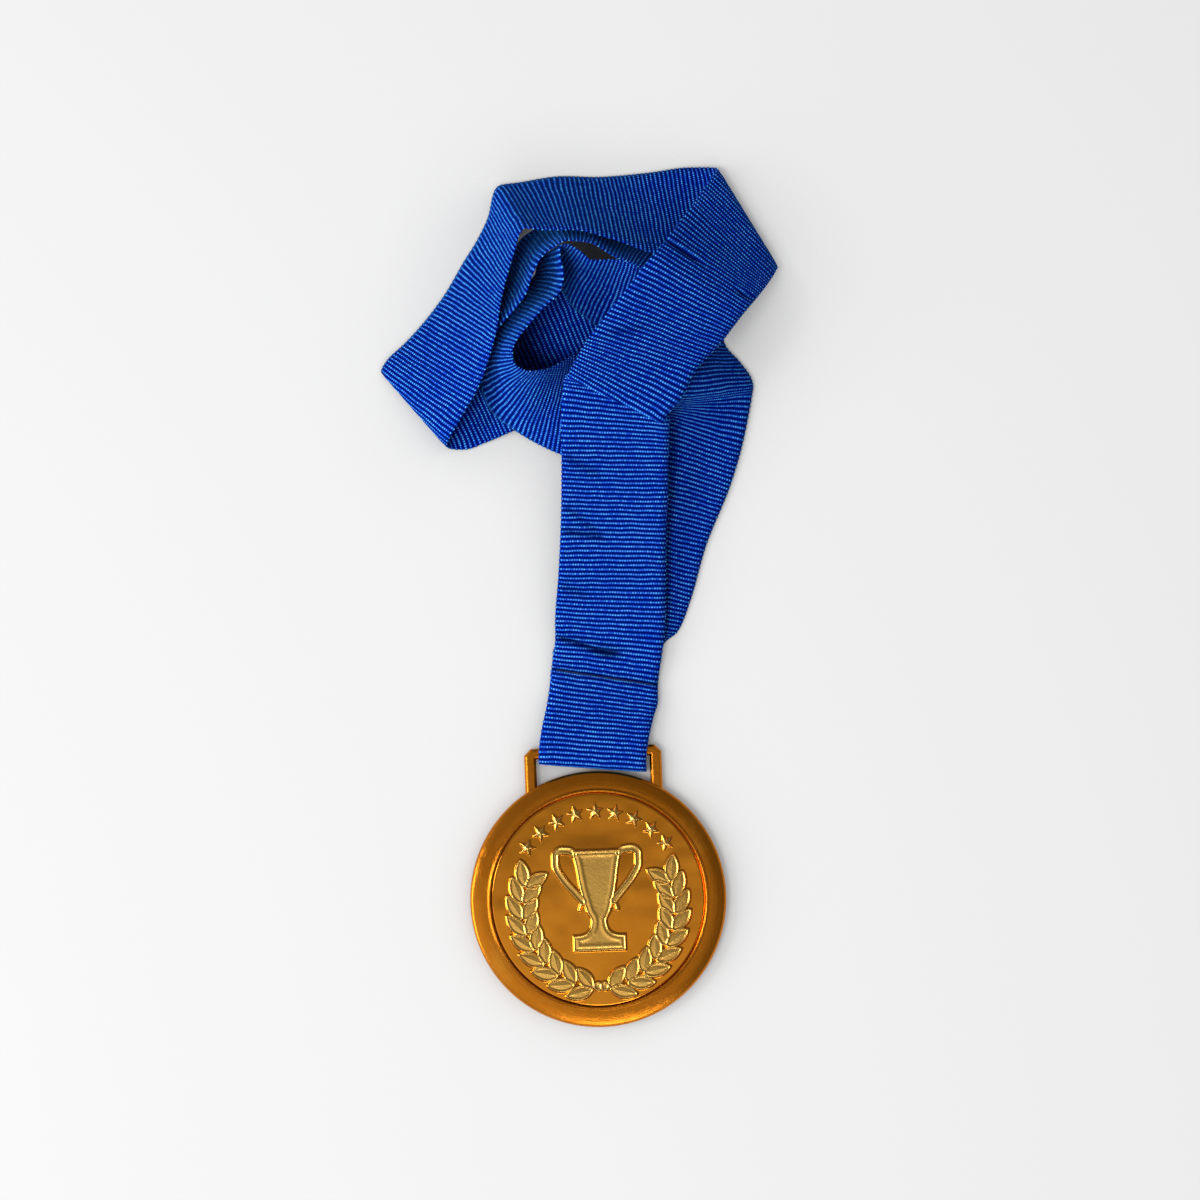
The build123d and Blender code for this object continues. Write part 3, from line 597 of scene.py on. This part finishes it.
def make_ribbon():
    """The strip as a closed mesh with its ribs, front and back, and scalloped selvages."""
    grid, cuts, share, length = strip_grid()
    rows, columns = grid.shape[:2]
    run = np.gradient(grid, axis=0)
    cross = np.gradient(grid, axis=1)
    lift = np.cross(cross, run)
    size = np.linalg.norm(lift, axis=2, keepdims=True)
    lift = lift / np.maximum(size, 1e-12)
    across = cross / np.maximum(np.linalg.norm(cross, axis=2, keepdims=True), 1e-12)
    ribs = cuts[:, None] / RIB_PITCH + rib_wander(cuts[:, None] / MM, share[None, :] * STRIP_WIDTH)
    rib = 0.5 + 0.5 * np.cos(2 * math.pi * ribs)
    edge = np.ones(columns)
    edge[0] = edge[-1] = EDGE_THIN
    height = (RIBBON_HALF_THICKNESS + RIB_DEPTH * rib) * edge[None, :]
    creased, painted_valley_shade = crease_height(grid, cuts, share)
    groove = seam_groove(grid, cuts)
    middle = grid + lift * (creased - SEAM_GROOVE * MM * groove)[:, :, None]
    # painted shade along the seam groove, joined with the painted shade in the crease valleys
    painted_valley_shade = np.maximum(painted_valley_shade, SEAM_SHADE * groove)
    middle[:, 0] -= across[:, 0] * SCALLOP * rib[:, :1]
    middle[:, -1] += across[:, -1] * SCALLOP * rib[:, -1:]
    top = middle + lift * height[:, :, None]
    under = middle - lift * height[:, :, None]
    top[:, :, 2] = np.maximum(top[:, :, 2], FLOOR_LIFT)
    under[:, :, 2] = np.maximum(under[:, :, 2], FLOOR_LIFT)
    vertices = np.concatenate([top.reshape(-1, 3), under.reshape(-1, 3)])
    number = np.arange(rows * columns).reshape(rows, columns)
    other = number + rows * columns
    faces = [
        quads(number[:-1, :-1], number[:-1, 1:], number[1:, 1:], number[1:, :-1]),
        quads(other[:-1, :-1], other[1:, :-1], other[1:, 1:], other[:-1, 1:]),
        quads(number[:-1, 0], number[1:, 0], other[1:, 0], other[:-1, 0]),
        quads(number[:-1, -1], other[:-1, -1], other[1:, -1], number[1:, -1]),
        quads(number[0, :-1], other[0, :-1], other[0, 1:], number[0, 1:]),
        quads(number[-1, :-1], number[-1, 1:], other[-1, 1:], other[-1, :-1]),
    ]
    piece = mesh_object("ribbon_cloth", vertices, faces)
    layer = piece.data.uv_layers.new(name="weave")
    flat = np.stack([ribs.ravel(), np.tile(share * THREAD_COLUMNS, rows)], -1)
    flat = np.concatenate([flat, flat])
    corner = np.empty(len(piece.data.loops), dtype=np.int32)
    piece.data.loops.foreach_get("vertex_index", corner)
    layer.data.foreach_set("uv", flat[corner].astype(np.float32).ravel())
    # each point's share of painted valley shade, read by the ribbon's material
    deep = piece.data.attributes.new(name="painted_valley_shade", type="FLOAT", domain="POINT")
    deep.data.foreach_set("value", np.tile(painted_valley_shade.ravel(), 2).astype(np.float32))
    piece.data.materials.append(ribbon_material())
    return piece, length


# ---------------------------------------------------------------- struck face
def smooth_step(value, low, high):
    """0 below low, 1 above high, with a soft turn at both."""
    t = np.clip((value - low) / (high - low), 0, 1)
    return t * t * (3 - 2 * t)


def ridge(value, middle, half):
    """A rounded ridge of height 1 where value is near middle."""
    return np.exp(-(((value - middle) / half) ** 2))


def rounded(points, count=10):
    """A smooth line through given points."""
    points = np.array(points, dtype=float)
    knots = along(points)
    return curve(knots, points, np.linspace(0, knots[-1], count * len(points)))


def distance_to(x, y, line):
    """Distance from each place to a line of points."""
    best = np.full(x.shape, 1e9)
    for (ax, ay), (bx, by) in zip(line[:-1], line[1:]):
        long2 = max((bx - ax) ** 2 + (by - ay) ** 2, 1e-12)
        t = np.clip(((x - ax) * (bx - ax) + (y - ay) * (by - ay)) / long2, 0, 1)
        best = np.minimum(best, np.hypot(x - ax - t * (bx - ax), y - ay - t * (by - ay)))
    return best


def depth_inside(x, y, outline):
    """How far each place is inside a closed outline, negative outside."""
    closed = np.concatenate([outline, outline[:1]])
    inside = np.zeros(x.shape, dtype=bool)
    for (ax, ay), (bx, by) in zip(closed[:-1], closed[1:]):
        if ay == by:
            continue
        crosses = (ay > y) != (by > y)
        inside ^= crosses & (x < ax + (y - ay) * (bx - ax) / (by - ay))
    return np.where(inside, 1, -1) * distance_to(x, y, closed)


def grain(x, y, size, seed):
    """Seeded lumps of about this size, between -1 and 1."""
    chance = np.random.default_rng(seed)
    side = int(GRAIN_TILE / size)
    table = chance.uniform(-1, 1, (side, side))
    gx, gy = (x + GRAIN_TILE / 2) / size, (y + GRAIN_TILE / 2) / size
    ix, iy = np.floor(gx).astype(int) % side, np.floor(gy).astype(int) % side
    jx, jy = (ix + 1) % side, (iy + 1) % side
    tx, ty = gx - np.floor(gx), gy - np.floor(gy)
    tx, ty = tx * tx * (3 - 2 * tx), ty * ty * (3 - 2 * ty)
    low = table[ix, iy] * (1 - tx) + table[jx, iy] * tx
    high = table[ix, jy] * (1 - tx) + table[jx, jy] * tx
    return low * (1 - ty) + high * ty


def lumps(x, y, kind):
    """Grain of one named kind: its height, its size and its seed."""
    height, size, seed = kind
    return height * grain(x, y, size, seed)


def leaf_height(x, y, stalk, turn, length):
    """Laurel leaf with a raised border, a sunken middle and a faint rib."""
    c, s = math.cos(math.radians(turn)), math.sin(math.radians(turn))
    t = ((x - stalk[0]) * c + (y - stalk[1]) * s) / length
    side = -(x - stalk[0]) * s + (y - stalk[1]) * c
    inside = (t > 0) & (t < 1)
    wide = LEAF_WIDTH / 2 * np.sin(math.pi * np.clip(t, 0, 1) ** 0.92) ** 0.72
    depth = (wide - np.abs(side)) * 0.92
    depth = np.where(inside, np.minimum(depth, np.minimum(t, 1 - t) * length * 0.8 + 0.02), -1)
    border = 0.5 * ridge(depth, 0.34, 0.26)
    middle = (0.22 + 0.06 * smooth_step(depth, 0.5, 1.5)) * smooth_step(depth, 0.0, 0.25)
    rib = 0.03 * ridge(side, 0.0, 0.15) * smooth_step(depth, 0.5, 0.8)
    return np.where(depth > -0.2, np.maximum(border * smooth_step(depth, -0.12, 0.2), middle) + rib, 0)


def wreath_height(x, y):
    """Two laurel branches of paired leaves, and the two knobs of the bow between them."""
    height = np.zeros(x.shape)
    for mirror in (1, -1):
        for index in range(LEAF_PAIRS):
            angle = math.radians(BRANCH_START + index * BRANCH_STEP)
            radius = BRANCH_RADIUS - index * BRANCH_DRAW_IN
            stalk = (radius * math.cos(angle), radius * math.sin(angle))
            along_branch = math.degrees(angle) + 90
            for lean, length in ((OUTER_LEAN, OUTER_LEAF_LENGTH), (INNER_LEAN, INNER_LEAF_LENGTH)):
                leaf = leaf_height(x * mirror, y, stalk, along_branch + lean, length)
                lift = 1.0 + 0.05 * (index % 3)
                height = np.maximum(height, leaf * lift)
    for side in (-1, 1):
        depth = KNOB_RADIUS - np.hypot(x - side * KNOB_SIDE, y - BOW_Y)
        knob = (0.3 + 0.2 * ridge(depth, 0.35, 0.25)) * smooth_step(depth, 0, 0.25)
        height = np.maximum(height, knob)
    return height


def cup_height(x, y):
    """Bowl, stem and foot in one outline, and two handles with raised edges."""
    right = rounded(CUP_SIDE)
    outline = np.concatenate([[(0, CUP_RIM)], right, [(0, CUP_FOOT_BOTTOM)], (right * (-1, 1))[::-1]])
    depth = depth_inside(x, y, outline)
    inner = 0.2 + 0.16 * smooth_step(depth, 0.1, 0.5) + 0.1 * ridge(depth, 1.3, 0.45)
    body = inner * smooth_step(depth, -0.05, 0.3)
    body = np.maximum(body, 0.55 * ridge(depth, 0.38, 0.3) * smooth_step(depth, -0.1, 0.2))
    lip = 0.64 * ridge(y, CUP_RIM - 0.5, 0.42) * smooth_step(depth, -0.05, 0.25)
    height = np.maximum(body, lip)
    for mirror in (1, -1):
        reach = HANDLE_HALF - distance_to(x * mirror, y, rounded(HANDLE_LINE))
        band = 0.3 + 0.24 * ridge(reach, 0.32, 0.26) + 0.05 * smooth_step(reach, 0.5, 0.8)
        height = np.maximum(height, band * smooth_step(reach, -0.05, 0.25))
        curl = CURL_HALF - distance_to(x * mirror, y, CURL_LINE)
        height = np.maximum(height, 0.45 * smooth_step(curl, -0.05, 0.4))
    return height


def stars_height(x, y):
    """Arc of five-pointed stars, each highest in its middle."""
    height = np.zeros(x.shape)
    for index in range(STAR_COUNT):
        angle = math.radians(90 - STAR_ARC_HALF + index * 2 * STAR_ARC_HALF / (STAR_COUNT - 1))
        spot = (STAR_ARC_RADIUS * math.cos(angle), STAR_ARC_RADIUS * math.sin(angle))
        points = []
        for corner in range(10):
            reach = STAR_RADIUS * (1 if corner % 2 == 0 else STAR_WAIST)
            turn = angle + math.radians(36 * corner)
            points.append((spot[0] + reach * math.cos(turn), spot[1] + reach * math.sin(turn)))
        depth = depth_inside(x, y, np.array(points))
        height = np.maximum(height, (0.25 + 0.45 * np.clip(depth, 0, 1)) * smooth_step(depth, -0.05, 0.2))
    return height


def make_face():
    """Struck disc, its design raised from a field that is a little uneven, as a pressed sheet is."""
    share = np.linspace(-1, 1, FACE_GRID)
    a, b = np.meshgrid(share, share, indexing="ij")
    steep = np.abs(a) > np.abs(b)
    reach = np.where(steep, a, b)
    safe = np.where(reach == 0, 1, reach)
    turn = np.where(steep, math.pi / 4 * b / safe, math.pi / 2 - math.pi / 4 * a / safe)
    x, y = INSERT_RADIUS * reach * np.cos(turn), INSERT_RADIUS * reach * np.sin(turn)
    design = np.maximum(np.maximum(wreath_height(x, y), cup_height(x, y)), stars_height(x, y))
    raised = smooth_step(design, 0.1, 0.3)
    height = design + lumps(x, y, SATIN_LUMPS) * raised
    height += lumps(x, y, BROAD_LUMPS) + lumps(x, y, SMALL_LUMPS)
    edge = INSERT_RADIUS - np.hypot(x, y)
    height -= EDGE_DROP * (1 - np.sqrt(1 - (1 - np.clip(edge / EDGE_ROUND, 0, 1)) ** 2))
    top = np.stack([x, y, FIELD_HEIGHT + height], -1)
    rim = np.concatenate([top[:-1, 0], top[-1, :-1], top[:0:-1, -1], top[0, :0:-1]])
    under = rim.copy()
    under[:, 2] = FIELD_HEIGHT - INSERT_THICKNESS
    number = np.arange(FACE_GRID ** 2).reshape(FACE_GRID, FACE_GRID)
    loop = np.concatenate([number[:-1, 0], number[-1, :-1], number[:0:-1, -1], number[0, :0:-1]])
    below = FACE_GRID ** 2 + np.arange(len(loop))
    faces = [
        quads(number[:-1, :-1], number[1:, :-1], number[1:, 1:], number[:-1, 1:]),
        quads(loop, below, np.roll(below, -1), np.roll(loop, -1)),
        below[None, ::-1],
    ]
    vertices = np.concatenate([top.reshape(-1, 3), under]) * MM
    piece = mesh_object("struck_face", vertices, faces)
    piece.data.materials.append(struck_gold())
    return piece


# ---------------------------------------------------------------- materials
class Shader:
    """Short calls for building a node material."""

    def __init__(self, name):
        self.material = bpy.data.materials.new(name)
        self.material.use_nodes = True
        self.tree = self.material.node_tree
        self.tree.nodes.clear()
        output = self.node("ShaderNodeOutputMaterial")
        self.surface = self.node("ShaderNodeBsdfPrincipled")
        self.link(self.surface.outputs[0], output.inputs[0])

    def node(self, kind, **settings):
        made = self.tree.nodes.new(kind)
        for key, value in settings.items():
            setattr(made, key, value)
        return made

    def link(self, source, target):
        if hasattr(source, "is_linked") or hasattr(source, "node"):
            self.tree.links.new(source, target)
        else:
            target.default_value = source

    def maths(self, operation, *values):
        made = self.node("ShaderNodeMath", operation=operation)
        for index, value in enumerate(values):
            self.link(value, made.inputs[index])
        return made.outputs[0]

    def blend(self, share, first, second):
        made = self.node("ShaderNodeMix", data_type="RGBA")
        self.link(share, made.inputs[0])
        self.link(first, made.inputs[6])
        self.link(second, made.inputs[7])
        return made.outputs[2]

    def noise(self, vector, scale, detail=2.0, roughness=0.5):
        made = self.node("ShaderNodeTexNoise")
        self.link(vector, made.inputs["Vector"])
        made.inputs["Scale"].default_value = scale
        made.inputs["Detail"].default_value = detail
        made.inputs["Roughness"].default_value = roughness
        return made.outputs["Fac"]

    def bump(self, height, strength, distance, normal=None):
        made = self.node("ShaderNodeBump")
        if normal is not None:
            self.link(normal, made.inputs["Normal"])
        self.link(height, made.inputs["Height"])
        made.inputs["Strength"].default_value = strength
        made.inputs["Distance"].default_value = distance
        self.link(made.outputs[0], self.surface.inputs["Normal"])

    def set(self, **values):
        for key, value in values.items():
            self.link(value, self.surface.inputs[key.replace("_", " ")])


def wave(shader, value):
    """0 to 1 and back once for every whole step of value."""
    turned = shader.maths("MULTIPLY", value, 2 * math.pi)
    swing = shader.maths("COSINE", turned)
    return shader.maths("MULTIPLY_ADD", swing, 0.5, 0.5)


def ribbon_material():
    """Royal blue grosgrain: painted shade in the grooves, deep blue ribs, painted highlights on the
    floats where warp threads cross, and painted shade in the crease valleys and along the seam groove.
    """
    shader = Shader("royal_blue_grosgrain")
    place = shader.node("ShaderNodeUVMap", uv_map="weave")
    split = shader.node("ShaderNodeSeparateXYZ")
    shader.link(place.outputs[0], split.inputs[0])
    ribs, threads = split.outputs[0], split.outputs[1]
    rib = wave(shader, ribs)
    rib_number = shader.maths("FLOOR", shader.maths("ADD", ribs, 0.5))
    shifted = shader.maths("MULTIPLY_ADD", rib_number, 0.5, threads)
    thread = wave(shader, shifted)
    cell = shader.node("ShaderNodeCombineXYZ")
    shader.link(rib_number, cell.inputs[0])
    shader.link(shader.maths("FLOOR", shader.maths("ADD", shifted, 0.5)), cell.inputs[1])
    chance = shader.node("ShaderNodeTexWhiteNoise", noise_dimensions="2D")
    shader.link(cell.outputs[0], chance.inputs["Vector"])
    luck = chance.outputs["Value"]
    patches = shader.noise(place.outputs[0], 0.07, 3.0)
    # grooves get the dark blue and crests the mid blue: painted shade between the ribs
    crest = shader.maths("POWER", rib, 1.6)
    floats = shader.maths("MULTIPLY", shader.maths("POWER", rib, 5.0), shader.maths("POWER", thread, 2.0))
    # floats made light blue, brighter at random per float and in broad patches: a painted highlight
    bright = shader.maths("MULTIPLY", floats, shader.maths("MULTIPLY_ADD", luck, 1.2, 0.3))
    patchy_highlight = shader.maths("MULTIPLY", bright, shader.maths("MULTIPLY_ADD", patches, 1.3, 0.35))
    body = shader.blend(crest, RIBBON_DARK, RIBBON_MID)
    weave_with_painted_light = shader.blend(patchy_highlight, body, RIBBON_FLOAT_HIGHLIGHT)
    # crease valleys and the seam groove darkened: painted shade
    painted_valley_shade = shader.node("ShaderNodeAttribute", attribute_name="painted_valley_shade").outputs["Fac"]
    shader.set(Base_Color=shader.blend(painted_valley_shade, weave_with_painted_light, RIBBON_VALLEY_SHADE))
    shader.set(Roughness=0.5, Specular_IOR_Level=0.0)
    shader.set(Sheen_Weight=0.2, Sheen_Roughness=0.4, Sheen_Tint=RIBBON_GLOSS)
    height = shader.maths("ADD", shader.maths("MULTIPLY", rib, 0.5), floats)
    shader.bump(height, 0.7, 0.14 * MM)
    return shader.material


def thread_material():
    """Dark blue sewing thread with a fine twist."""
    shader = Shader("blue_sewing_thread")
    place = shader.node("ShaderNodeTexCoord").outputs["Object"]
    twist = shader.noise(place, 4000.0, 2.0)
    shader.set(Base_Color=shader.blend(twist, THREAD_DARK, RIBBON_DARK), Roughness=0.55)
    shader.bump(twist, 0.5, 0.1 * MM)
    return shader.material


def rings(shader, fineness):
    """Noise drawn out along circles round the medal's centre."""
    place = shader.node("ShaderNodeTexCoord").outputs["Object"]
    split = shader.node("ShaderNodeSeparateXYZ")
    shader.link(place, split.inputs[0])
    x, y = split.outputs[0], split.outputs[1]
    angle = shader.maths("ARCTAN2", y, x)
    square = shader.maths("ADD", shader.maths("MULTIPLY", x, x), shader.maths("MULTIPLY", y, y))
    joined = shader.node("ShaderNodeCombineXYZ")
    shader.link(shader.maths("MULTIPLY", shader.maths("COSINE", angle), 1.2), joined.inputs[0])
    shader.link(shader.maths("MULTIPLY", shader.maths("SINE", angle), 1.2), joined.inputs[1])
    shader.link(shader.maths("MULTIPLY", shader.maths("SQRT", square), fineness), joined.inputs[2])
    return joined.outputs[0], place


def cast_gold():
    """Gold plate with fine scratches running round the rim."""
    shader = Shader("brushed_gold")
    circles, place = rings(shader, 5000.0)
    fine = shader.noise(circles, 1.0, 5.0, 0.75)
    stain = shader.noise(place, 120.0, 4.0, 0.6)
    streaks = shader.maths("MULTIPLY_ADD", fine, 1.6, -0.9)
    share = shader.maths("MULTIPLY_ADD", stain, 2.4, streaks)
    tone = shader.blend(share, GOLD_RIM, GOLD_DEEP)
    shader.set(Base_Color=tone, Metallic=1.0)
    shader.set(Roughness=shader.maths("MULTIPLY_ADD", fine, 0.22, 0.08))
    worn_edges = shader.node("ShaderNodeBevel", samples=4)
    worn_edges.inputs["Radius"].default_value = EDGE_WEAR
    shader.bump(fine, 0.5, 0.06 * MM, worn_edges.outputs[0])
    return shader.material


def struck_gold():
    """Mirror field, deep in colour, and paler satin on whatever is raised."""
    shader = Shader("mirror_gold")
    place = shader.node("ShaderNodeTexCoord").outputs["Object"]
    split = shader.node("ShaderNodeSeparateXYZ")
    shader.link(place, split.inputs[0])
    above = shader.maths("SUBTRACT", split.outputs[2], (FIELD_HEIGHT + SATIN_FROM) * MM)
    raised = shader.node("ShaderNodeMath", operation="MULTIPLY", use_clamp=True)
    shader.link(above, raised.inputs[0])
    raised.inputs[1].default_value = SATIN_STEEPNESS
    share = raised.outputs[0]
    fine = shader.noise(place, 1500.0, 3.0, 0.6)
    stain = shader.noise(place, 90.0, 4.0, 0.55)
    field = shader.blend(stain, GOLD_FIELD, GOLD_DEEP)
    shader.set(Base_Color=shader.blend(share, field, GOLD_LIGHT), Metallic=1.0)
    rough = shader.maths("MULTIPLY_ADD", share, 0.14, 0.1)
    shader.set(Roughness=shader.maths("MULTIPLY_ADD", fine, 0.06, rough))
    shader.bump(shader.maths("MULTIPLY", fine, shader.maths("ADD", share, 0.15)), 0.2, 0.05 * MM)
    return shader.material


def plain_pad():
    """Off-white adhesive pad."""
    shader = Shader("adhesive_pad")
    place = shader.node("ShaderNodeTexCoord").outputs["Object"]
    speckle = shader.noise(place, 600.0)
    shader.set(Base_Color=shader.blend(speckle, PAD_DARK, PAD_LIGHT), Roughness=0.6)
    return shader.material


# ---------------------------------------------------------------- stage, light and camera
def make_floor():
    """Pale sheet under the medal, whose faint glow fades near whatever stands on it."""
    bpy.ops.mesh.primitive_plane_add(size=FLOOR_SIZE, location=(0, 0.1, FLOOR_DROP))
    floor = bpy.context.object
    floor.name = "floor"
    shader = Shader("pale_floor")
    shader.set(Base_Color=FLOOR_COLOUR, Roughness=0.9, Specular_IOR_Level=0.0)
    open_sky = shader.node("ShaderNodeAmbientOcclusion", samples=8)
    open_sky.inputs["Distance"].default_value = GLOW_REACH
    shader.set(Emission_Color=WHITE)
    shader.set(Emission_Strength=shader.maths("MULTIPLY", open_sky.outputs["AO"], FLOOR_GLOW))
    floor.data.materials.append(shader.material)


def area_light(name, place, size, power, mirrored):
    """Soft lamp aimed at the middle of the medal and its ribbon."""
    data = bpy.data.lights.new(name, "AREA")
    data.shape = "SQUARE"
    data.size = size
    data.energy = power
    lamp = bpy.data.objects.new(name, data)
    bpy.context.collection.objects.link(lamp)
    lamp.location = place
    lamp.visible_glossy = mirrored
    toward = Vector(LIGHT_AIM) - Vector(place)
    lamp.rotation_euler = toward.to_track_quat("-Z", "Y").to_euler()


def make_world():
    """Studio surroundings: a bright side towards the window, and a bright ceiling over part of it."""
    world = bpy.data.worlds.new("studio")
    bpy.context.scene.world = world
    world.use_nodes = True
    tree = world.node_tree
    back = tree.nodes["Background"]

    def maths(operation, *values):
        node = tree.nodes.new("ShaderNodeMath")
        node.operation = operation
        for index, value in enumerate(values):
            if isinstance(value, (int, float)):
                node.inputs[index].default_value = value
            else:
                tree.links.new(value, node.inputs[index])
        return node.outputs[0]

    place = tree.nodes.new("ShaderNodeTexCoord").outputs["Generated"]

    def facing(side):
        node = tree.nodes.new("ShaderNodeVectorMath")
        node.operation = "DOT_PRODUCT"
        tree.links.new(place, node.inputs[0])
        node.inputs[1].default_value = Vector(side).normalized()
        return node.outputs["Value"]

    def soft_range(value, *settings):
        node = tree.nodes.new("ShaderNodeMapRange")
        node.interpolation_type = "SMOOTHSTEP"
        tree.links.new(value, node.inputs[0])
        for index, setting in enumerate(settings):
            node.inputs[index + 1].default_value = setting
        return node.outputs[0]

    window = maths("POWER", maths("MAXIMUM", facing(WINDOW_SIDE), 0.0), WINDOW_TIGHTNESS)
    ceiling = soft_range(facing(CEILING_SIDE), CEILING_FROM, CEILING_TO, 0.0, CEILING_STRENGTH)
    end = soft_range(facing((0, 1, 0)), CEILING_END, CEILING_DARK, 1.0, 0.0)
    glow = maths("MULTIPLY_ADD", window, WINDOW_STRENGTH, ROOM_STRENGTH)
    tree.links.new(maths("MULTIPLY_ADD", ceiling, end, glow), back.inputs[1])
    back.inputs[0].default_value = WHITE


def make_camera():
    """Looks straight down; the medal lies turned a little to the left in the view."""
    data = bpy.data.cameras.new("camera")
    data.lens = LENS
    data.sensor_width = SENSOR
    camera = bpy.data.objects.new("camera", data)
    bpy.context.collection.objects.link(camera)
    camera.location = (VIEW_X, VIEW_Y, VIEW_HEIGHT)
    camera.rotation_euler = (0, 0, math.radians(VIEW_ROLL))
    bpy.context.scene.camera = camera


# ---------------------------------------------------------------- build
make_camera()
make_world()
make_floor()
for lamp in LAMPS:
    area_light(*lamp)
bpy.context.scene.view_settings.view_transform = "Standard"

cloth, cloth_length = make_ribbon()
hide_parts("ribbon")
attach(cloth, "ribbon")


def dress(node, material):
    """Give a CAD node this material in place of its own."""
    mesh = nodes[node].data
    mesh.materials.clear()
    mesh.materials.append(material)


face = make_face()
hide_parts("face_insert")
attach(face, "medal")
dress("medal_body", cast_gold())
dress("insert_adhesive", plain_pad())
sewing = thread_material()
dress("needle_thread", sewing)
dress("bobbin_thread", sewing)
